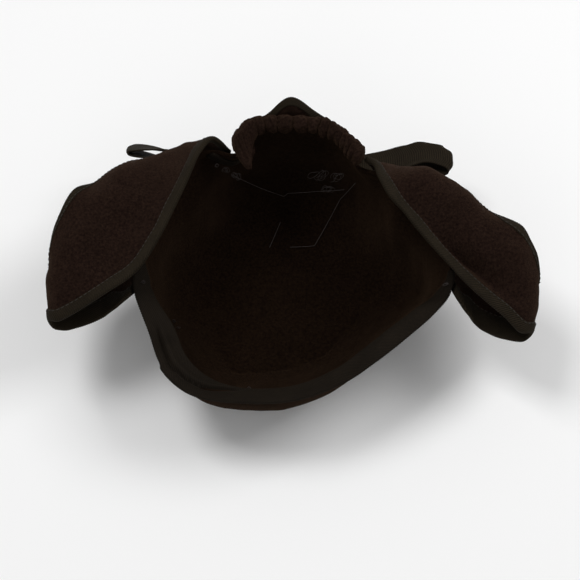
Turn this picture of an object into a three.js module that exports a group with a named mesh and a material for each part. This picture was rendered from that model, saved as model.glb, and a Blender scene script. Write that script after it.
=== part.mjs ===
// A soft felt calot hat lying on its crown with its opening up, in millimetres.
// The crown is a bowl. At each side a wide felt wing leaves the rim at a pinch, turns over at
// its tip and comes back over the rim to the far side, so that it is an open loop. The far rim
// is drawn up in a ruched roll with a small peak behind it, ribbon binds the edges, and a flat
// ribbon bow lies under the far side.
// The hat's own frame has +x to the right, +y to the far side and +z out of the opening. Its
// origin is between the two pinches. The whole hat leans to the near side by LEAN_DEG.

import * as THREE from "three";

// Driving dimensions
const LEAN_DEG = 12;
const FELT = 2;
const GAP = 0.35;
const RIM_CENTRE = { x: 2, y: 18 };
const CROWN_FOOT = { x: 1, y: 27 };
const CROWN_DEPTH = 72;
const CROWN_FULLNESS = 0.74;
// Below the rim its pinches ease out of the crown's wall, by this share of the depth.
const PINCH_EASED_AT = 0.4;
const PRESSED_FLAT = 6;
const BELLY_AT = 0.3;
const CROWN_BINDING = { width: 11, thick: 3 };
// Rows of the rim between which its ribbon runs
const BINDING_ROWS = { from: 19, to: 30 };
const WING_BINDING = { width: 6.4, thick: 3.2 };
const PEAK_BINDING = { width: 5, thick: 2.8 };
const ROLL = { radius: 4.6, pucker: 0.9, puckers: 20, rise: 1.2 };
const BOW = { half: 97, ribbon: 20, wall: 1.1, gap: 4.5, y: 88.7, z: -56, turn: -5 };
// How each bow loop ends: its shift from the knot along y and z, how the ribbon is turned there
// in degrees, and how far its far corner is drawn back.
const BOW_ENDS = {
  left: { y: 8, z: 18, turn: -60, skew: 3 },
  right: { y: 3.6, z: 15, turn: -22, skew: 11 },
};
const BOW_KNOT = { length: 15, width: 14, thick: 9.5 };

// Numbers of steps along and across each piece
const STEPS = {
  crown: [62, 13],
  rimBinding: 84,
  wing: [40, 8],
  wingBinding: 44,
  rearBinding: 34,
  roll: [80, 6],
  peak: [20, 4],
  bow: [30, 4],
};

// Top edge of the crown's binding: direction from the rim's centre in degrees, reach and height
// in mm, how far the bound lip leans out in degrees, and how far the wall swells below it in mm.
const RIM = table(["angle", "reach", "rise", "lean", "belly", "bound"], [
  [0, 88, 0, 10, 2, 0],
  [24, 82, -1, 6, 2, 0],
  [38, 76, -3, 2, 1, 0],
  [48, 70.5, -4, 0, 1, 0],
  [56, 67, -3, 0, 1, 0],
  [61, 71.6, 0, 0, 1, 0],
  [67, 75.5, 0.6, 0, 1, 0],
  [75, 80, 0.6, 0, 1, 0],
  [84, 81.8, 0.6, 0, 1, 0],
  [92, 82.2, 0.8, 0, 1, 0],
  [100, 82.7, 0.6, 0, 1, 0],
  [107, 81.2, 0.6, 0, 1, 0],
  [112, 77, -1, 0, 1, 0],
  [115, 72, -3, 0, 1, 0],
  [119, 72.5, -4, 0, 1, 0],
  [125, 79.5, -3, 0, 1, 0],
  [133, 84, -1, 2, 1, 0],
  [148, 86, 0, 6, 2, 0],
  [168, 87, 0, 12, 2, 0],
  [186, 89, -0.5, 34, 2.5, 1],
  [193, 90, -1, 50, 3, 1],
  [207, 89.5, 0, 66, 5, 1],
  [222, 94.8, 1, 62, 5.5, 1],
  [236, 94, 2, 52, 7, 1],
  [251, 86.7, 3, 47, 8, 1],
  [270, 80.8, 3, 47, 7.5, 1],
  [290, 76, 2, 50, 6, 1],
  [308, 74, 1, 56, 3, 1],
  [325, 77, 0, 60, 0, 1],
  [338, 83.5, -1, 56, 0, 1],
  [348, 89, -1, 32, 1, 1],
]);

// Soft dents of the crown: direction and half width in degrees, depth and half depth as shares
// of the crown's depth, and how far the felt is pushed in, in mm.
const DENTS = table(["angle", "spread", "depth", "reach", "push"], [
  [186, 16, 0.3, 0.25, 4],
  [352, 16, 0.3, 0.25, 5],
  [135, 22, 0.6, 0.3, 4],
  [40, 24, 0.55, 0.3, 3],
  [262, 20, 0.75, 0.25, 2.5],
]);

// Sections of a wing from its pinch round its tip to its tucked end: the bound front edge, the
// bound rear edge, and how far the felt swells between them, in mm.
const WING_COLUMNS = ["fx", "fy", "fz", "rx", "ry", "rz", "swell"];
const WING_LEFT = table(WING_COLUMNS, [
  [-87.4, -1.5, -1.6, -78.8, 36, -24, 0],
  [-105, -13.5, -10, -106, 34, -29, 4],
  [-120, -19.5, -10, -121, 28, -22, 5],
  [-128, -21.5, -4, -129.5, 22, -12, 4],
  [-130.5, -18, 3, -131.5, 20, -1, 2],
  [-124.5, -19.5, 8, -129.5, 35.5, 5.5, 3],
  [-111, -12.5, 11, -120, 55, 8.5, 4],
  [-98, -4, 13, -109, 65.5, -8, 13],
  [-84, 6, 14.5, -101, 74, -15, 15],
  [-74, 21, 15, -90, 80.5, -18, 15],
  [-66, 38, 15, -78, 83.5, -21, 13.5],
  [-57, 60, 14, -66, 88, -24, 10],
  [-51.5, 76, 11, -56, 92, -26, 6],
  [-43.5, 87, 5.5, -48.5, 89, -28, 3],
  [-33.8, 85, -10.5, -42, 85, -31, 1],
]);
const WING_RIGHT = table(WING_COLUMNS, [
  [91, -1.5, -1.6, 82, 36, -23, -3],
  [103, -17, -9, 108, 34, -29, 4],
  [116, -25, -9, 123, 28, -23, 5],
  [126.5, -28.5, -4, 132.5, 20, -12, 4],
  [130.5, -25, 2, 136, 10, -2, 2],
  [124, -25.7, 8, 136, 17, 4, 3],
  [115.5, -18, 11, 133, 25, 7, 4],
  [100, -5, 13, 128, 34, 8, 5],
  [89, 6, 14, 119, 40, 6, 6],
  [76.5, 21, 14.5, 108, 48.5, -7, 11.5],
  [64, 38, 14, 93, 62.5, -13, 13],
  [55, 50.5, 13, 77, 71.5, -16, 11],
  [50, 61.5, 11, 64, 76, -24, 7],
  [47.6, 71.4, 6, 57.5, 79, -26, 3],
  [42.8, 77.2, 0.6, 49, 76, -27, 1],
]);

// The arch that the drawn-up roll follows over the far rim: direction and reach from the rim's
// centre, height, and the roll's thickness as a share of its full one.
const ARCH = table(["angle", "reach", "rise", "size"], [
  [117, 67.5, -0.5, 1],
  [114.4, 72.5, 0, 1.15],
  [111.4, 77, 0, 1.15],
  [107.6, 80.3, 0, 1.1],
  [103.2, 81.9, 0, 1],
  [98.2, 81.7, 0, 1],
  [91.4, 81.2, 0.5, 1],
  [84.2, 81, 0, 1],
  [78, 80.3, 0, 1],
  [72, 77.6, 0, 1],
  [65.8, 73.9, 0, 1.05],
  [60.4, 70.7, 0, 1.05],
  [56.4, 68.2, -0.5, 0.95],
]);

// Sections of the peak: direction from the rim's centre, reach and height of its free edge.
const PEAK = table(["angle", "reach", "rise"], [
  [109, 84, -12],
  [105, 87, -8],
  [99, 90.5, -2.5],
  [91, 94, 4],
  [82.5, 90.5, -1],
  [75, 86.5, -7],
  [68, 82, -12],
]);
const PEAK_ROOT = { reach: 81.5, ends: 2.4, rise: -17, narrowing: 0.93 };
const PEAK_BOW = { ends: 3, middle: 5.6 };

const FINISHES = {
  felt: { color: 0x2b1a16, roughness: 0.95, metalness: 0 },
  ribbon: { color: 0x2c261b, roughness: 0.7, metalness: 0 },
};

const RAD = Math.PI / 180;
const lean = LEAN_DEG * RAD;

// Turns rows of numbers into objects with named columns.
function table(columns, rows) {
  return rows.map((row) => Object.fromEntries(columns.map((name, i) => [name, row[i]])));
}

function column(rows, name) {
  return rows.map((row) => row[name]);
}

// A smooth line through evenly spaced values, at t from 0 to 1, closed on itself where asked.
function smooth(values, t, closed = false) {
  const spans = closed ? values.length : values.length - 1;
  const at = Math.min(Math.max(t, 0), 1) * spans;
  const i = Math.min(Math.floor(at), spans - 1);
  const f = at - i;
  const pick = (k) => {
    if (closed) return values[(k + values.length) % values.length];
    if (k < 0) return 2 * values[0] - values[1];
    if (k >= values.length) return 2 * values[values.length - 1] - values[values.length - 2];
    return values[k];
  };
  const [a, b, c, d] = [pick(i - 1), pick(i), pick(i + 1), pick(i + 2)];
  const cubic = (3 * b - a - 3 * c + d) * f * f * f + (2 * a - 5 * b + 4 * c - d) * f * f;
  return 0.5 * (cubic + (c - a) * f) + b;
}

// A grid of points from a function of two shares.
function grid(along, across, point, wraps = false) {
  const rows = wraps ? along : along + 1;
  return Array.from({ length: rows }, (_, i) =>
    Array.from({ length: across + 1 }, (_, j) => point(i / along, j / across)),
  );
}

// Unit normals of a surface given as a function of two shares, by small steps.
function normalAt(point, s, q, wraps = false) {
  const step = 0.004;
  const low = (x) => Math.max(x - step, 0);
  const high = (x) => Math.min(x + step, 1);
  const [s0, s1] = wraps ? [(s + 1 - step) % 1, (s + step) % 1] : [low(s), high(s)];
  const ds = point(s1, q).sub(point(s0, q));
  const dq = point(s, high(q)).sub(point(s, low(q)));
  return ds.cross(dq).normalize();
}

// A closed body from triangles over a list of points, turned to face out.
function closedBody(points, triangles) {
  const kept = triangles.filter(([a, b, c]) => a !== b && b !== c && c !== a);
  let volume = 0;
  for (const [a, b, c] of kept) {
    volume += points[a].dot(new THREE.Vector3().crossVectors(points[b], points[c]));
  }
  const index = kept.flatMap(([a, b, c]) => (volume < 0 ? [a, c, b] : [a, b, c]));
  const geometry = new THREE.BufferGeometry();
  geometry.setAttribute(
    "position",
    new THREE.Float32BufferAttribute(points.flatMap((p) => p.toArray()), 3),
  );
  geometry.setIndex(index);
  geometry.computeVertexNormals();
  return geometry;
}

// A wall between two grids of the same size. It closes on itself along its rows where it wraps,
// and its last column may be one shared pole on each face.
function wall(outer, inner, { wraps = false, pole = false } = {}) {
  const rows = outer.length;
  const columns = outer[0].length;
  const points = [...outer.flat(), ...inner.flat()];
  const half = rows * columns;
  const at = (face, i, j) => {
    const row = pole && j === columns - 1 ? 0 : i % rows;
    return face * half + row * columns + j;
  };
  const triangles = [];
  const quad = (a, b, c, d) => triangles.push([a, b, c], [a, c, d]);
  const spans = wraps ? rows : rows - 1;
  for (let i = 0; i < spans; i += 1) {
    for (let j = 0; j < columns - 1; j += 1) {
      quad(at(0, i, j), at(0, i + 1, j), at(0, i + 1, j + 1), at(0, i, j + 1));
      quad(at(1, i, j), at(1, i, j + 1), at(1, i + 1, j + 1), at(1, i + 1, j));
    }
    quad(at(0, i + 1, 0), at(0, i, 0), at(1, i, 0), at(1, i + 1, 0));
    if (!pole) {
      const j = columns - 1;
      quad(at(0, i, j), at(0, i + 1, j), at(1, i + 1, j), at(1, i, j));
    }
  }
  if (!wraps) {
    for (let j = 0; j < columns - 1; j += 1) {
      const i = rows - 1;
      quad(at(0, 0, j), at(0, 0, j + 1), at(1, 0, j + 1), at(1, 0, j));
      quad(at(0, i, j + 1), at(0, i, j), at(1, i, j), at(1, i, j + 1));
    }
  }
  return closedBody(points, triangles);
}

// A wall of even thickness with the given surface in its middle.
function felt(point, along, across) {
  const faces = [1, -1].map((side) =>
    grid(along, across, (s, q) =>
      point(s, q).addScaledVector(normalAt(point, s, q), (side * FELT) / 2),
    ),
  );
  return wall(faces[0], faces[1]);
}

// A bar with a rounded flat section carried along a strip of frames {at, side, up}.
function bar(frames, { width, thick }) {
  const section = [
    [0.5, 0.22],
    [0.32, 0.5],
    [-0.32, 0.5],
    [-0.5, 0.22],
    [-0.5, -0.22],
    [-0.32, -0.5],
    [0.32, -0.5],
    [0.5, -0.22],
  ];
  const points = frames.flatMap(({ at, side, up }) =>
    section.map(([a, b]) =>
      at.clone().addScaledVector(side, a * width).addScaledVector(up, b * thick),
    ),
  );
  const n = section.length;
  const triangles = [];
  for (let i = 0; i < frames.length - 1; i += 1) {
    for (let k = 0; k < n; k += 1) {
      const [a, b] = [i * n + k, i * n + ((k + 1) % n)];
      triangles.push([a, b, b + n], [a, b + n, a + n]);
    }
  }
  const last = (frames.length - 1) * n;
  for (let k = 1; k < n - 1; k += 1) {
    triangles.push([0, k + 1, k], [last, last + k, last + k + 1]);
  }
  return closedBody(points, triangles);
}

// A point given by its direction and reach from the rim's centre, and its height.
function around(angle, reach, rise) {
  const x = RIM_CENTRE.x + reach * Math.cos(angle * RAD);
  const y = RIM_CENTRE.y + reach * Math.sin(angle * RAD);
  return new THREE.Vector3(x, y, rise);
}

// The bound lip of the crown at t: its top edge and the way that it runs down into the wall.
const RIM_POINTS = RIM.map((row) => around(row.angle, row.reach, row.rise));
function lip(t) {
  const top = new THREE.Vector3(
    smooth(column(RIM_POINTS, "x"), t, true),
    smooth(column(RIM_POINTS, "y"), t, true),
    smooth(column(RIM_POINTS, "z"), t, true),
  );
  const out = new THREE.Vector3(top.x - RIM_CENTRE.x, top.y - RIM_CENTRE.y, 0).normalize();
  const tilt = smooth(column(RIM, "lean"), t, true) * RAD;
  const down = new THREE.Vector3(0, 0, -Math.cos(tilt)).addScaledVector(out, -Math.sin(tilt));
  const bound = Math.min(Math.max(smooth(column(RIM, "bound"), t, true), 0), 1);
  const belly = smooth(column(RIM, "belly"), t, true);
  return { top, out, down, bound, belly };
}

// Where the felt starts below the bound lip, and the same line with its pinches smoothed out.
function wallTop(t) {
  const { top, down, bound } = lip(t);
  return top.clone().addScaledVector(down, bound * (CROWN_BINDING.width + GAP));
}

function easedTop(t) {
  const offsets = [-3, -2, -1, 0, 1, 2, 3].map((k) => k / RIM.length);
  const sum = new THREE.Vector3();
  offsets.forEach((offset) => sum.add(wallTop((t + offset + 1) % 1)));
  return sum.divideScalar(offsets.length);
}

// How far the dents push the felt in, in a direction and at a share of the depth.
function dented(angle, depth) {
  return DENTS.reduce((sum, dent) => {
    const turn = ((angle - dent.angle + 540) % 360) - 180;
    const far = (turn / dent.spread) ** 2 + ((depth - dent.depth) / dent.reach) ** 2;
    return sum + dent.push * Math.exp(-far);
  }, 0);
}

// Height above the plane that the crown rests on, once it is pressed flat.
function heightOf(point) {
  return point.y * Math.sin(lean) + point.z * Math.cos(lean);
}

// The crown's outer face: superellipse ribs from the lip down to the foot.
function bowl(t, q) {
  const { out, belly } = lip(t);
  const start = wallTop(t);
  const phi = (q * Math.PI) / 2;
  const depth = Math.sin(phi) ** CROWN_FULLNESS;
  const reach = Math.cos(phi) ** CROWN_FULLNESS;
  const angle = Math.atan2(start.y - RIM_CENTRE.y, start.x - RIM_CENTRE.x) / RAD;
  const isFar = THREE.MathUtils.smoothstep(Math.sin(angle * RAD), -0.35, 0.7);
  const eased = isFar * THREE.MathUtils.smoothstep(depth, 0.02, PINCH_EASED_AT);
  const rib = start.clone().lerp(easedTop(t), eased);
  const swell = belly * Math.exp(-(((depth - BELLY_AT) / 0.28) ** 2)) * Math.min(1, depth * 8);
  const push = (swell - dented(angle, depth) * Math.min(1, depth * 6)) * Math.min(1, reach * 3);
  return new THREE.Vector3(
    CROWN_FOOT.x + (rib.x - CROWN_FOOT.x) * reach + out.x * push,
    CROWN_FOOT.y + (rib.y - CROWN_FOOT.y) * reach + out.y * push,
    rib.z - (CROWN_DEPTH + rib.z) * depth,
  );
}

// The lowest height of the unpressed bowl, and the plane that it is pressed to.
const lowest = Math.min(...grid(90, 60, bowl, true).flat().map(heightOf));
const restHeight = lowest + PRESSED_FLAT;
const restUp = new THREE.Vector3(0, Math.sin(lean), Math.cos(lean));

function pressed(t, q) {
  const point = bowl(t, q);
  return point.addScaledVector(restUp, Math.max(0, restHeight - heightOf(point)));
}

function crown() {
  const [along, across] = STEPS.crown;
  const rib = (share) => share ** 0.9;
  const outer = grid(along, across, (s, q) => pressed(s, rib(q)), true);
  const inner = grid(
    along,
    across,
    (s, q) => {
      const point = pressed(s, rib(q));
      if (heightOf(point) < restHeight + 0.01) return point.addScaledVector(restUp, FELT);
      return point.addScaledVector(normalAt(pressed, s, rib(q), true), FELT);
    },
    true,
  );
  return wall(outer, inner, { wraps: true, pole: true });
}

function crownBinding() {
  const { width, thick } = CROWN_BINDING;
  const frames = Array.from({ length: STEPS.rimBinding + 1 }, (_, i) => {
    const row = THREE.MathUtils.lerp(BINDING_ROWS.from, BINDING_ROWS.to, i / STEPS.rimBinding);
    const { top, down, out } = lip(row / RIM.length);
    const up = out.clone().addScaledVector(down, -out.dot(down)).normalize();
    const at = top.clone().addScaledVector(down, width / 2).addScaledVector(up, -FELT / 2);
    return { at, side: down, up };
  });
  return bar(frames, { width, thick });
}

// The middle surface of a wing: s runs from the pinch to the tuck, q from front to rear edge.
// Beyond the tip the felt lies flat near its front edge and rolls over near its rear one.
function wingSurface(rows, hand) {
  const edge = (names, s) =>
    new THREE.Vector3(...names.map((name) => smooth(column(rows, name), s)));
  const front = (s) => edge(["fx", "fy", "fz"], s);
  const rear = (s) => edge(["rx", "ry", "rz"], s);
  const chord = (s) => front(s).distanceTo(rear(s));
  const point = (s, q) => {
    const [f, r] = [front(s), rear(s)];
    const along = front(Math.min(s + 0.01, 1)).sub(front(Math.max(s - 0.01, 0)));
    const out = along.cross(r.clone().sub(f)).normalize();
    const u = q ** (1 + 0.65 * THREE.MathUtils.smoothstep(s, 0.34, 0.5));
    const swell = smooth(column(rows, "swell"), s) * 4 * u * (1 - u);
    return f.lerp(r, q).addScaledVector(out, hand * swell);
  };
  return { point, chord };
}

function wing(rows, hand) {
  const { point, chord } = wingSurface(rows, hand);
  const margin = WING_BINDING.width + GAP;
  const bare = (s, q) => {
    const m = margin / chord(s);
    return point(s, m + (1 - 2 * m) * q);
  };
  return felt(bare, ...STEPS.wing);
}

function wingBinding(rows, hand, isRear, steps, from, to) {
  const { point, chord } = wingSurface(rows, hand);
  const frames = Array.from({ length: steps + 1 }, (_, i) => {
    const s = from + ((to - from) * i) / steps;
    const half = WING_BINDING.width / 2 / chord(s);
    const q = isRear ? 1 - half : half;
    const side = point(s, q + half).sub(point(s, q - half)).normalize();
    return { at: point(s, q), side, up: normalAt(point, s, q) };
  });
  return bar(frames, WING_BINDING);
}

// The share of a curve's own run at which a share of its length is reached.
function evenly(point, steps = 240) {
  const lengths = [0];
  for (let i = 1; i <= steps; i += 1) {
    lengths.push(lengths[i - 1] + point(i / steps).distanceTo(point((i - 1) / steps)));
  }
  return (share) => {
    const want = share * lengths[steps];
    const i = Math.max(1, lengths.findIndex((length) => length >= want - 1e-9));
    return (i - 1 + (want - lengths[i - 1]) / (lengths[i] - lengths[i - 1])) / steps;
  };
}

const archShare = evenly((s) =>
  around(smooth(column(ARCH, "angle"), s), smooth(column(ARCH, "reach"), s), 0),
);

// The roll's section is an arc from under its inner edge over the top to its outer edge, and its
// size swells and narrows along the arch in puckers.
function rollSurface(length, q) {
  const s = archShare(length);
  const angle = smooth(column(ARCH, "angle"), s);
  const size = smooth(column(ARCH, "size"), s);
  const wave = Math.abs(Math.sin(ROLL.puckers * Math.PI * length)) ** 0.7;
  const radius = (ROLL.radius - ROLL.pucker + ROLL.pucker * wave) * size;
  const turn = (205 - 235 * q) * RAD;
  const reach = smooth(column(ARCH, "reach"), s) + radius * Math.cos(turn);
  const rise = smooth(column(ARCH, "rise"), s) + ROLL.rise + radius * Math.sin(turn) * 1.1;
  return around(angle, reach, rise);
}

// The peak runs from its root outside the roll up and out to its free edge. It bows out at its
// ends and in to the roll in its middle.
function peakSurface(s, q) {
  const angle = smooth(column(PEAK, "angle"), s);
  const rootReach = PEAK_ROOT.reach - PEAK_ROOT.ends * (2 * s - 1) ** 2;
  const rootAngle = 90 + (angle - 90) * PEAK_ROOT.narrowing;
  const free = around(angle, smooth(column(PEAK, "reach"), s), smooth(column(PEAK, "rise"), s));
  const root = around(rootAngle, rootReach, PEAK_ROOT.rise);
  const u = q ** 1.6;
  const sag = (PEAK_BOW.ends - PEAK_BOW.middle * Math.sin(Math.PI * s)) * 4 * u * (1 - u);
  const out = new THREE.Vector3(Math.cos(angle * RAD), Math.sin(angle * RAD), -0.4).normalize();
  return root.lerp(free, q).addScaledVector(out, sag);
}

function peakFreeShare(s) {
  const length = peakSurface(s, 0).distanceTo(peakSurface(s, 1));
  return PEAK_BINDING.width / length;
}

function peak() {
  const bare = (s, q) => {
    const top = 1 - peakFreeShare(s) * (1 + (2 * GAP) / PEAK_BINDING.width);
    return peakSurface(s, q * top);
  };
  return felt(bare, ...STEPS.peak);
}

function peakBinding() {
  const steps = STEPS.peak[0];
  const frames = Array.from({ length: steps + 1 }, (_, i) => {
    const s = i / steps;
    const half = peakFreeShare(s) / 2;
    const side = peakSurface(s, 1).sub(peakSurface(s, 1 - 2 * half)).normalize();
    return { at: peakSurface(s, 1 - half), side, up: normalAt(peakSurface, s, 1 - half) };
  });
  return bar(frames, PEAK_BINDING);
}

// The ribbon's two directions across a bow that is turned about x by some degrees.
function bowFrame(turn) {
  const [c, n] = [Math.cos(turn * RAD), Math.sin(turn * RAD)];
  return { across: new THREE.Vector3(0, c, n), up: new THREE.Vector3(0, -n, c) };
}

// A bow loop: the ribbon runs out, turns over and comes back, as a flat ring open at its edges.
function bowLoop(hand, end) {
  const inner = BOW_KNOT.length / 2 + GAP;
  const middle = (inner + BOW.half) / 2;
  const reach = (BOW.half - inner) / 2;
  const power = (value, exponent) => Math.sign(value) * Math.abs(value) ** exponent;
  const face = (offset) => (s, q) => {
    const turn = 2 * Math.PI * s;
    const flat = middle + (reach - BOW.wall + offset) * power(Math.cos(turn), 0.7);
    const share = flat / BOW.half;
    const puff = 0.4 + 0.6 * THREE.MathUtils.smoothstep(share, 0.2, 0.8);
    const open = (0.5 * BOW.gap * puff + offset) * power(Math.sin(turn), 0.6);
    const { across, up } = bowFrame(THREE.MathUtils.lerp(BOW.turn, end.turn, share));
    const spread = 0.45 + 0.55 * THREE.MathUtils.smoothstep(share, 0.15, 0.9);
    const drawn = end.skew * THREE.MathUtils.smoothstep(q, 0.45, 1) * share ** 2;
    return new THREE.Vector3(hand * (flat - drawn), BOW.y, BOW.z)
      .add(new THREE.Vector3(0, end.y, end.z).multiplyScalar(share))
      .addScaledVector(up, open)
      .addScaledVector(across, (q - 0.5) * BOW.ribbon * spread);
  };
  const [along, wide] = STEPS.bow;
  return wall(grid(along, wide, face(BOW.wall), true), grid(along, wide, face(0), true), {
    wraps: true,
  });
}

// The bow's knot: a band of ribbon round the middle, solid as it is wound tight.
function bowKnot() {
  const { length, width, thick } = BOW_KNOT;
  const { across, up } = bowFrame(BOW.turn);
  const frames = [-0.5, -0.42, -0.2, 0, 0.2, 0.42, 0.5].map((share) => {
    const pinch = 1 - 0.8 * Math.abs(share) ** 3;
    return {
      at: new THREE.Vector3(share * length, BOW.y, BOW.z),
      side: across.clone().multiplyScalar(pinch),
      up: up.clone().multiplyScalar(pinch),
    };
  });
  return bar(frames, { width, thick });
}

function finish(name) {
  return new THREE.MeshStandardMaterial(FINISHES[name]);
}

const hat = new THREE.Group();
const pieces = [
  ["crown", crown(), "felt"],
  ["crown_binding", crownBinding(), "ribbon"],
  ["wing_left", wing(WING_LEFT, 1), "felt"],
  ["wing_right", wing(WING_RIGHT, -1), "felt"],
  ["wing_left_front_binding", wingBinding(WING_LEFT, 1, false, STEPS.wingBinding, 0, 1), "ribbon"],
  ["wing_right_front_binding", wingBinding(WING_RIGHT, -1, false, STEPS.wingBinding, 0, 1), "ribbon"],
  ["wing_left_rear_binding", wingBinding(WING_LEFT, 1, true, STEPS.rearBinding, 0, 1), "ribbon"],
  ["wing_right_rear_binding", wingBinding(WING_RIGHT, -1, true, STEPS.rearBinding, 0, 1), "ribbon"],
  ["gathered_roll", felt(rollSurface, ...STEPS.roll), "felt"],
  ["peak", peak(), "felt"],
  ["peak_binding", peakBinding(), "ribbon"],
  ["bow_loop_left", bowLoop(-1, BOW_ENDS.left), "ribbon"],
  ["bow_loop_right", bowLoop(1, BOW_ENDS.right), "ribbon"],
  ["bow_knot", bowKnot(), "ribbon"],
];
for (const [name, geometry, material] of pieces) {
  const mesh = new THREE.Mesh(geometry, finish(material));
  mesh.name = name;
  hat.add(mesh);
}
hat.rotation.x = lean;
hat.position.z = -restHeight;

// The part stands with the middle of its box over the origin.
const part = new THREE.Group();
part.add(hat);
part.updateMatrixWorld(true);
const box = new THREE.Box3().setFromObject(part, true);
hat.position.x -= (box.min.x + box.max.x) / 2;
hat.position.y -= (box.min.y + box.max.y) / 2;

export default part;
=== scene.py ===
"""A soft felt calot hat lying on its crown with its opening up.

The felt crown is a bowl. At each side a wide felt wing leaves the rim at a pinch, loops over its
tip and comes back to the far side. A ruched roll with a small peak behind it draws up the far
rim, folded ribbon binds the edges, and a flat ribbon bow lies under the far side. Every surface
is a grid of points worked out in the hat's own frame, in mm, and then placed in metres.
"""

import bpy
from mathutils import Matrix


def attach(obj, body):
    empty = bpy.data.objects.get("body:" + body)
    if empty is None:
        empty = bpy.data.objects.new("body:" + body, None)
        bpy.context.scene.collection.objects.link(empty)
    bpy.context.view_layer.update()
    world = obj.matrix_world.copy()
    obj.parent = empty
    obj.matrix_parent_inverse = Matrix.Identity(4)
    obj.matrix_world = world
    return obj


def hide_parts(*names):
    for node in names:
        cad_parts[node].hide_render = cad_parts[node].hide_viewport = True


bl_info = {
    "name": "Calot hat",
    "version": (1, 0, 0),
    "blender": (4, 5, 0),
    "location": "View3D > Sidebar > Calot hat",
    "description": "Builds a soft felt calot hat with looped wings, a ruched roll and a bow",
    "category": "Object",
}

import math
from collections import namedtuple

import bmesh
import bpy
import numpy as np
from bpy.props import FloatProperty, FloatVectorProperty, PointerProperty
from mathutils import Vector

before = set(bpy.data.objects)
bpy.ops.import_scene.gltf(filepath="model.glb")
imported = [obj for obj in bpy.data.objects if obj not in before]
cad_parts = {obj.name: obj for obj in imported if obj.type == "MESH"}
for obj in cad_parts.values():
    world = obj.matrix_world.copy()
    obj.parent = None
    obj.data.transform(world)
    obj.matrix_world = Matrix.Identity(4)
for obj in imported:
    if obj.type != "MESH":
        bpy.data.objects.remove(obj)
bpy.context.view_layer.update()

# The hat's own frame leans to the near side, and its origin lies between the two pinches.
LEAN = math.radians(12)
HAT_ORIGIN = np.array([-1.77, -24.02, 63.52])
MM = 0.001

# The bowl of the crown: places and depth in mm, how full its ribs are, and shares of its depth
RIM_CENTRE = np.array([2.0, 18.0, 0.0])
CROWN_FOOT = np.array([1.0, 27.0, 0.0])
CROWN_DEPTH = 72
CROWN_FULLNESS = 0.74
CROWN_STEPS = (280, 96)
FELT_TUCK = 4
FAR_SIDE = (-0.35, 0.7)
PINCH_EASED = (0.02, 0.4)
BELLY = {"at": 0.3, "half": 0.28}

# The crown's wide ribbon, in mm. The felt's wall starts at the width of the CAD's bar. The ribbon
# is wider by a spare, narrows to a share at its two ends, and is wider again where it is loose.
CROWN_BINDING = {"width": 11, "thick": 3, "spare": 1.2, "at_ends": 0.45, "loose": 4.4}
RIB_HEIGHT = 0.2
RIB_SLANT = 0.9

# Parts of the crown's ribbon: the rows of the rim where each begins, is full, fades and ends
RIBBON_WHOLE = (18.35, 19.1, 29.9, 30.7)
RIBBON_LOOSE = (20.2, 21.8, 22.9, 24.2)
RIBBON_CREASED = (20.8, 21.5, 23.3, 24.1)
RIBBON_CORNER = (21.8, 21.95, 22.6, 23.6)
RIBBON_PUFFED = (26.4, 27.6, 28.8, 30.2)

# Top edge of the crown's binding: direction from the rim's centre in degrees, reach and height
# in mm, how far the lip leans out in degrees, how far the wall swells, and whether it is bound.
RIM = np.array([
    # angle, reach, rise, lean, belly, bound
    [0, 88, 0, 10, 2, 0],
    [24, 82, -1, 6, 2, 0],
    [38, 76, -3, 2, 1, 0],
    [48, 70.5, -4, 0, 1, 0],
    [56, 67, -3, 0, 1, 0],
    [61, 71.6, 0, 0, 1, 0],
    [67, 75.5, 0.6, 0, 1, 0],
    [75, 80, 0.6, 0, 1, 0],
    [84, 81.8, 0.6, 0, 1, 0],
    [92, 82.2, 0.8, 0, 1, 0],
    [100, 82.7, 0.6, 0, 1, 0],
    [107, 81.2, 0.6, 0, 1, 0],
    [112, 77, -1, 0, 1, 0],
    [115, 72, -3, 0, 1, 0],
    [119, 72.5, -4, 0, 1, 0],
    [125, 79.5, -3, 0, 1, 0],
    [133, 84, -1, 2, 1, 0],
    [148, 86, 0, 6, 2, 0],
    [168, 87, 0, 12, 2, 0],
    [186, 89, -0.5, 34, 2.5, 1],
    [193, 90, -1, 50, 3, 1],
    [207, 89.5, 0, 66, 5, 1],
    [222, 94.8, 1, 62, 5.5, 1],
    [236, 94, 2, 52, 7, 1],
    [251, 86.7, 3, 47, 8, 1],
    [270, 80.8, 3, 47, 7.5, 1],
    [290, 76, 2, 50, 6, 1],
    [308, 74, 1, 56, 3, 1],
    [325, 77, 0, 60, 0, 1],
    [338, 83.5, -1, 56, 0, 1],
    [348, 89, -1, 32, 1, 1],
], float)

# Soft dents of the crown: direction and half width in degrees, depth and half depth as shares
# of the crown's depth, and how far the felt is pushed in, in mm.
DENTS = np.array([
    # angle, spread, depth, reach, push
    [186, 16, 0.3, 0.25, 4],
    [352, 16, 0.3, 0.25, 5],
    [135, 22, 0.6, 0.3, 4],
    [40, 24, 0.55, 0.3, 3],
    [262, 20, 0.75, 0.25, 2.5],
], float)

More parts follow.
